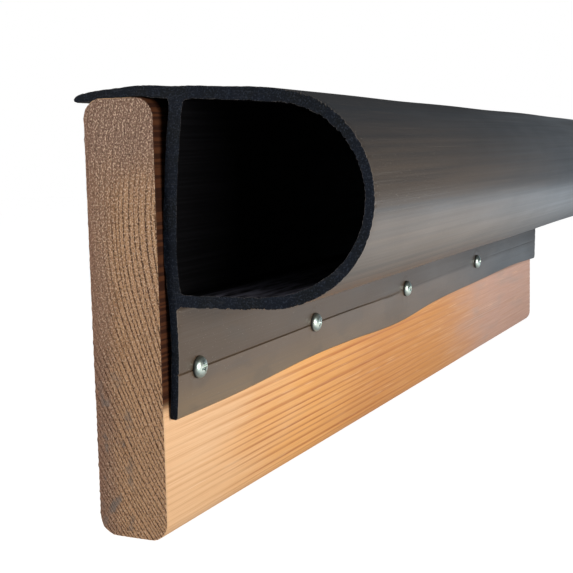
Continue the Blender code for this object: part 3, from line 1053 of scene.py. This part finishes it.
def long_grain():
    """Planed softwood: ring lines, fibres and rays, from straw-coloured through red along X, then grey as
    painted sheen towards +X. Painted shade darkens the wood under the seal.
    """
    s = rest_shader("rail_long_grain")
    x, y, z = s.split(s.at)
    late = latewood_mask(s)
    fibre = s.noise((38, 0.28, 0.28), seed=11)
    thread = s.noise((26, 0.75, 0.75), seed=15, detail=2)
    streak = s.noise((120, 2.6, 2.6), seed=12, detail=2)
    stain = s.noise((55, 20, 13), seed=13)
    along = s.plus(x, (stain, 80.0), -40.0)
    middle = s.step(along, 10, 115)
    beyond = s.step(along, 100, 190)
    # Painted sheen: towards +X the wood turns greyer and pinker.
    far = s.times(s.step(along, 250, 390), s.step(y, 10, 3, 0.35, 1.0))
    early = s.mix(middle, (0.8, 0.505, 0.285), (0.8, 0.405, 0.13))
    early = s.mix(beyond, early, (0.64, 0.29, 0.088))
    early = s.mix(far, early, (0.58, 0.36, 0.29))
    dark = s.mix(middle, (0.52, 0.24, 0.082), (0.45, 0.135, 0.026))
    dark = s.mix(far, dark, (0.5, 0.28, 0.21))
    strength = s.times(s.step(streak, 0.3, 0.6, 0.55, 1.0), s.step(thread, 0.25, 0.6, 0.7, 1.0))
    strength = s.times(strength, s.step(x, 15, 75, 0.3, 1.0), s.step(x, 310, 120, 0.35, 1.0))
    s.colour = s.mix(s.times(late, strength), early, dark)
    s.coat((0.5, 0.24, 0.09), s.step(fibre, 0.5, 0.72, 0.0, 0.34))
    s.coat((0.93, 0.7, 0.46), s.step(fibre, 0.5, 0.28, 0.0, 0.2))
    s.coat((0.93, 0.68, 0.46), s.step(thread, 0.62, 0.78, 0.0, 0.35))
    # Painted sheen: grey-brown patches over the far part.
    s.coat((0.42, 0.33, 0.3), s.step(stain, 0.5, 0.7), far, 0.5)
    worn = s.step(end_distance(s, x, 0.0, RAIL_SIZE[0]), 1.2, 0.2)
    s.coat((0.55, 0.36, 0.22), worn, 0.35)
    # Painted shade: the wood under the seal is dark, with darker streaks along X in the gap.
    covered = s.times(s.step(z, TOE_Z + 1.0, TOE_Z + 6.0), s.step(y, 9.0, 6.5))
    seam = s.step(s.noise((70, 9, 1.3), seed=16, detail=2), 0.56, 0.46)
    shadow = s.mix(s.times(seam, 0.8), (0.07, 0.026, 0.012), (0.018, 0.007, 0.005))
    s.coat(shadow, covered)
    roughness = s.plus(0.5, (fibre, 0.2), (late, -0.08))
    height = s.plus((fibre, 0.1), (late, 0.05), (thread, 0.05))
    shine = s.step(covered, 0.0, 1.0, 0.45, 0.08)
    return s.finish(roughness, height, bump=0.7, specular=shine)


def end_grain():
    """Sawn end grain: ring bands broken up by torn fibres, light and dark specks, and weathered patches."""
    s = rest_shader("rail_end_grain")
    _, y, z = s.split(s.at)
    late = latewood_mask(s)
    speck = s.noise((9, 0.5, 0.62), seed=21)
    chip = s.noise((9, 0.6, 0.85), seed=25)
    fleck = s.noise((9, 0.9, 1.4), seed=22, detail=2)
    cloud = s.noise((30, 7, 11), seed=23)
    low = s.step(s.plus(z, (cloud, 26.0)), 138, 112)
    front = s.step(s.plus(y, (cloud, 16.0)), 30, 20)
    clean = s.times(low, s.math("MAXIMUM", front, s.step(z, 72, 52)))
    s.colour = s.mix(s.step(cloud, 0.35, 0.65), (0.41, 0.222, 0.104), (0.32, 0.167, 0.078))
    weathered = s.math("MAXIMUM", s.step(z, 95, 128), s.step(y, 13, 20, 0.0, 0.7))
    s.coat((0.262, 0.158, 0.114), weathered)
    s.coat((0.49, 0.29, 0.16), clean, front, 0.8)
    band = s.times(late, s.plus((clean, 0.9), 0.15), s.step(fleck, 0.38, 0.5, 0.55, 1.0))
    s.coat((0.07, 0.027, 0.012), band, s.step(speck, 0.6, 0.5, 0.5, 1.0))
    pale = s.times(s.step(speck, 0.5, 0.61), s.plus((late, -0.5), 1.0))
    s.coat((0.82, 0.62, 0.46), pale, s.step(z, 45, 115, 0.35, 0.75))
    s.coat((0.085, 0.038, 0.022), s.step(chip, 0.46, 0.36, 0.0, 0.7))
    low_back = s.times(s.step(y, 9, 16), s.step(z, 62, 40))
    patch = s.step(s.noise((30, 5, 7), seed=24, detail=2), 0.55, 0.68)
    s.coat((0.15, 0.14, 0.135), patch, low_back, 0.6)
    edge = s.step(y, RAIL_SIZE[1] - 4.5, RAIL_SIZE[1] - 0.3)
    s.coat((0.22, 0.115, 0.08), edge, 0.5)
    roughness = s.plus(0.75, (fleck, 0.15))
    height = s.plus((speck, 0.45), (chip, 0.45), (fleck, 0.2), (late, -0.25))
    return s.finish(roughness, height, specular=0.3)


def zinc_plate():
    """Bright zinc with a faint green passivate, driver marks, and dirt with painted contact shade round the
    seat.
    """
    s = rest_shader("screw_zinc")
    tint = s.noise((1.6, 1.6, 1.6), seed=31, detail=2)
    mark = s.noise((0.25, 0.25, 2.4), seed=32)
    worn = s.step(s.node("NewGeometry", {}, output="Pointiness"), 0.5, 0.56)
    s.colour = s.mix(s.step(tint, 0.35, 0.65), (0.44, 0.57, 0.56), (0.56, 0.65, 0.6))
    s.coat((0.26, 0.32, 0.33), s.step(mark, 0.6, 0.75, 0.0, 0.5))
    s.coat((0.9, 0.94, 0.92), worn, 0.5)
    # Dirt and painted contact shade: the head darkens towards its seat.
    seat_dirt_and_shade = s.step(s.rim(), 0.15, 1.0)
    s.coat((0.035, 0.04, 0.052), seat_dirt_and_shade, 0.9)
    roughness = s.plus(0.22, (tint, 0.12), (mark, 0.12), (seat_dirt_and_shade, 0.15))
    height = s.plus((mark, 0.012), (tint, 0.02))
    return s.finish(roughness, height, metallic=1.0)


# ---- studio


def floor_distance(s, place, centre):
    """Distance from the centre along the floor."""
    away = s.vector("SUBTRACT", place, centre)
    return s.vector("LENGTH", s.vector("MULTIPLY", away, (1.0, 1.0, 0.0)), output="Value")


def floor_material():
    """A pale floor that mostly glows, so that shadows on it stay faint. It fades out at its rim and is clear
    from below. As light for the object, its glow is a pool in front of the rail."""
    s = Shader(bpy.data.materials.new("floor_pale"))
    place = s.node("NewGeometry", {}, output="Position")
    x, y, _ = s.split(place)
    level = s.step(floor_distance(s, place, POOL_CENTRE), *POOL_REACH, POOL_GLOW, POOL_EDGE_GLOW)
    level = s.times(level, s.step(s.times(y, -1.0), *RAIL_SHADE_REACH, RAIL_SHADE, 1.0))
    tint = s.mix(s.step(x, *POOL_COOLING), (1.0, 0.95, 0.9), (0.8, 0.905, 1.0))
    pool = s.node("Emission", {"Color": tint, "Strength": level})
    matt = s.node("BsdfDiffuse", {"Color": (0.3, 0.3, 0.3)})
    glow = s.node("Emission", {"Color": (1.0, 1.0, 1.0), "Strength": FLOOR_GLOW})
    lit = s.node("AddShader", {0: matt, 1: glow})
    seen = s.node("LightPath", {}, output="Is Camera Ray")
    chosen = s.node("MixShader", {0: seen, 1: pool, 2: lit})
    clear = s.node("BsdfTransparent", {})
    fade = [FLOOR_RADIUS * MM * part for part in FLOOR_FADE]
    faded = s.step(floor_distance(s, place, (0.0, 0.0, 0.0)), *fade)
    faded = s.math("MAXIMUM", faded, s.node("NewGeometry", {}, output="Backfacing"))
    surface = s.node("MixShader", {0: faded, 1: chosen, 2: clear})
    s.feed(s.tree.nodes["Material Output"], {"Surface": surface})
    return s.owner


def make_floor():
    mesh = bpy.data.meshes.new("floor")
    bm = bmesh.new()
    bmesh.ops.create_circle(bm, cap_ends=True, segments=64, radius=FLOOR_RADIUS * MM)
    bm.to_mesh(mesh)
    bm.free()
    mesh.materials.append(floor_material())
    floor = add_object("floor", mesh)
    floor.location = (0.0, 0.0, metres((0.0, 0.0, FLOOR_Z))[2])


def make_world():
    """White to the camera. As light for the object it is dark near the horizon, brighter overhead and behind,
    and cooler and brighter low down towards +X."""
    world = bpy.data.worlds.new("studio")
    bpy.context.scene.world = world
    s = Shader(world)
    x, y, z = s.split(s.node("TexCoord", {}, output="Generated"))
    above = s.step(z, 0.1, 0.9, 0.03, 0.22)
    behind = s.times(s.step(y, -0.1, 0.7), s.step(z, 0.75, 0.0), 0.15)
    ahead = s.times(s.step(x, 0.93, 0.985), s.step(z, 0.38, 0.12), 0.5)
    tint = s.mix(s.step(x, 0.9, 0.96), (1.0, 1.0, 1.0), (0.78, 0.89, 1.0))
    light = s.node("Background", {"Color": tint, "Strength": s.plus(above, behind, ahead)})
    white = s.node("Background", {"Color": (1.0, 1.0, 1.0), "Strength": 1.0})
    seen = s.node("LightPath", {}, output="Is Camera Ray")
    mixed = s.node("MixShader", {0: seen, 1: light, 2: white})
    s.feed(s.tree.nodes["World Output"], {"Surface": mixed})


def area_light(name, place, target, size, watts, colour):
    data = bpy.data.lights.new(name, "AREA")
    data.shape = "RECTANGLE"
    data.size = size[0] * MM
    data.size_y = size[1] * MM
    data.energy = watts
    data.color = colour
    light = add_object(name, data)
    light.location = metres(place)
    aim = Vector(metres(target)) - light.location
    light.rotation_euler = aim.to_track_quat("-Z", "Y").to_euler()


def make_lights():
    """A warm key light low in front of the rail, and a softer one behind it."""
    warm = (1.0, 0.95, 0.88)
    soft = (1.0, 0.97, 0.94)
    area_light("key", place=(-260, -950, 170), target=(60, 0, 30), size=(600, 320), watts=9.3, colour=warm)
    area_light("fill", place=(-620, 700, 110), target=(0, 0, 70), size=(500, 300), watts=7.0, colour=soft)


def make_camera():
    """The photo's viewpoint: forward is where it looks, and roll turns it about that."""
    heading, pitch, roll = (math.radians(degrees) for degrees in CAMERA_TURNS_DEG)
    ahead = math.cos(pitch)
    forward = Vector((ahead * math.cos(heading), ahead * math.sin(heading), -math.sin(pitch)))
    level = forward.cross(Vector((0.0, 0.0, 1.0))).normalized()
    upright = level.cross(forward)
    right = level * math.cos(roll) + upright * math.sin(roll)
    up = upright * math.cos(roll) - level * math.sin(roll)
    data = bpy.data.cameras.new("camera")
    data.lens = CAMERA_LENS
    data.sensor_width = 36.0
    data.clip_start = 0.01
    data.clip_end = 50.0
    camera = add_object("camera", data)
    turn = Matrix((right, up, -forward)).transposed().to_4x4()
    camera.matrix_world = Matrix.Translation(Vector(metres(CAMERA_PLACE))) @ turn
    bpy.context.scene.camera = camera


make_seal()
make_rail()
make_screws()
make_floor()
make_world()
make_lights()
make_camera()
bpy.context.scene.view_settings.view_transform = "Standard"
